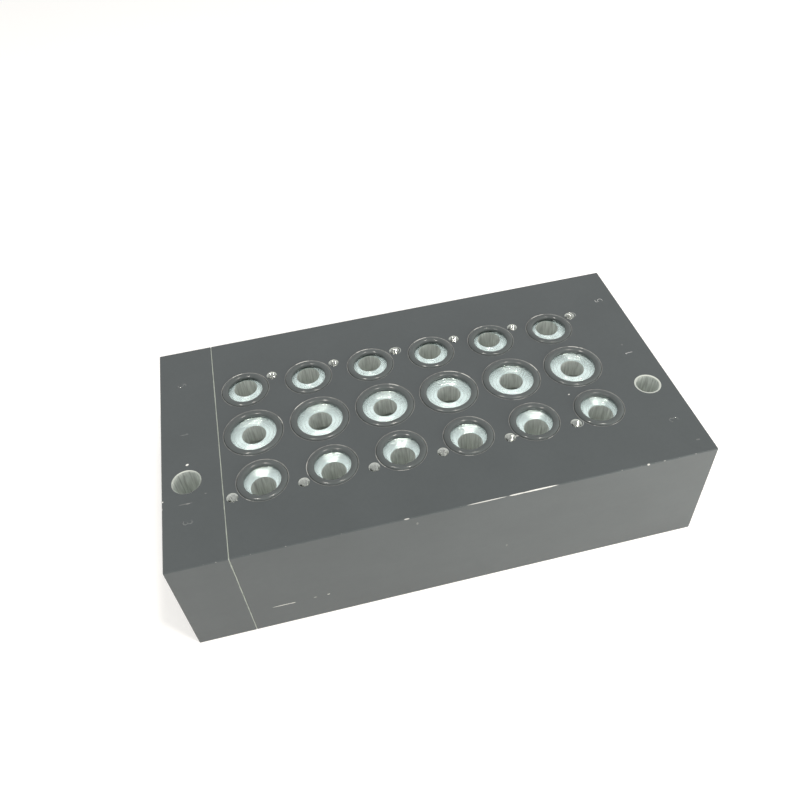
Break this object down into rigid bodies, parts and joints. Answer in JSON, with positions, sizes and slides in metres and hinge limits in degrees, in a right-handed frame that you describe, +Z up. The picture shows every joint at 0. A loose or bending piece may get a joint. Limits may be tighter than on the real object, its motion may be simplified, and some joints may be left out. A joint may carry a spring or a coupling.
{
  "type": "hydraulic manifold block",
  "caption": "Long black-anodised valve manifold with a bolted end block, rows of O-ring sealed ports over lengthwise galleries and tapped holes for valves.",
  "frame": {"origin": "under the middle of the block, on the bottom face", "axes": "+X along the length away from the end block, +Y to the rear row of ports, +Z up out of the ports"},
  "size_m": [0.2, 0.11, 0.0507],
  "materials": {
    "black_anodised_aluminium": "satin black anodised, bare where bored",
    "nitrile_rubber": "oiled black rubber",
    "black_steel": "black oxide"
  },
  "bodies": {
    "root": {"main_block": "black_anodised_aluminium", "end_block": "black_anodised_aluminium", "rear_port_seal_1": "nitrile_rubber", "rear_port_seal_2": "nitrile_rubber", "rear_port_seal_3": "nitrile_rubber", "rear_port_seal_4": "nitrile_rubber", "rear_port_seal_5": "nitrile_rubber", "rear_port_seal_6": "nitrile_rubber", "middle_port_seal_1": "nitrile_rubber", "middle_port_seal_2": "nitrile_rubber", "middle_port_seal_3": "nitrile_rubber", "middle_port_seal_4": "nitrile_rubber", "middle_port_seal_5": "nitrile_rubber", "middle_port_seal_6": "nitrile_rubber", "front_port_seal_1": "nitrile_rubber", "front_port_seal_2": "nitrile_rubber", "front_port_seal_3": "nitrile_rubber", "front_port_seal_4": "nitrile_rubber", "front_port_seal_5": "nitrile_rubber", "front_port_seal_6": "nitrile_rubber", "rear_joint_seal": "nitrile_rubber", "middle_joint_seal": "nitrile_rubber", "front_joint_seal": "nitrile_rubber", "joining_screw_1": "black_steel", "joining_screw_2": "black_steel", "joining_screw_3": "black_steel", "joining_screw_4": "black_steel"}
  },
  "joints": []
}
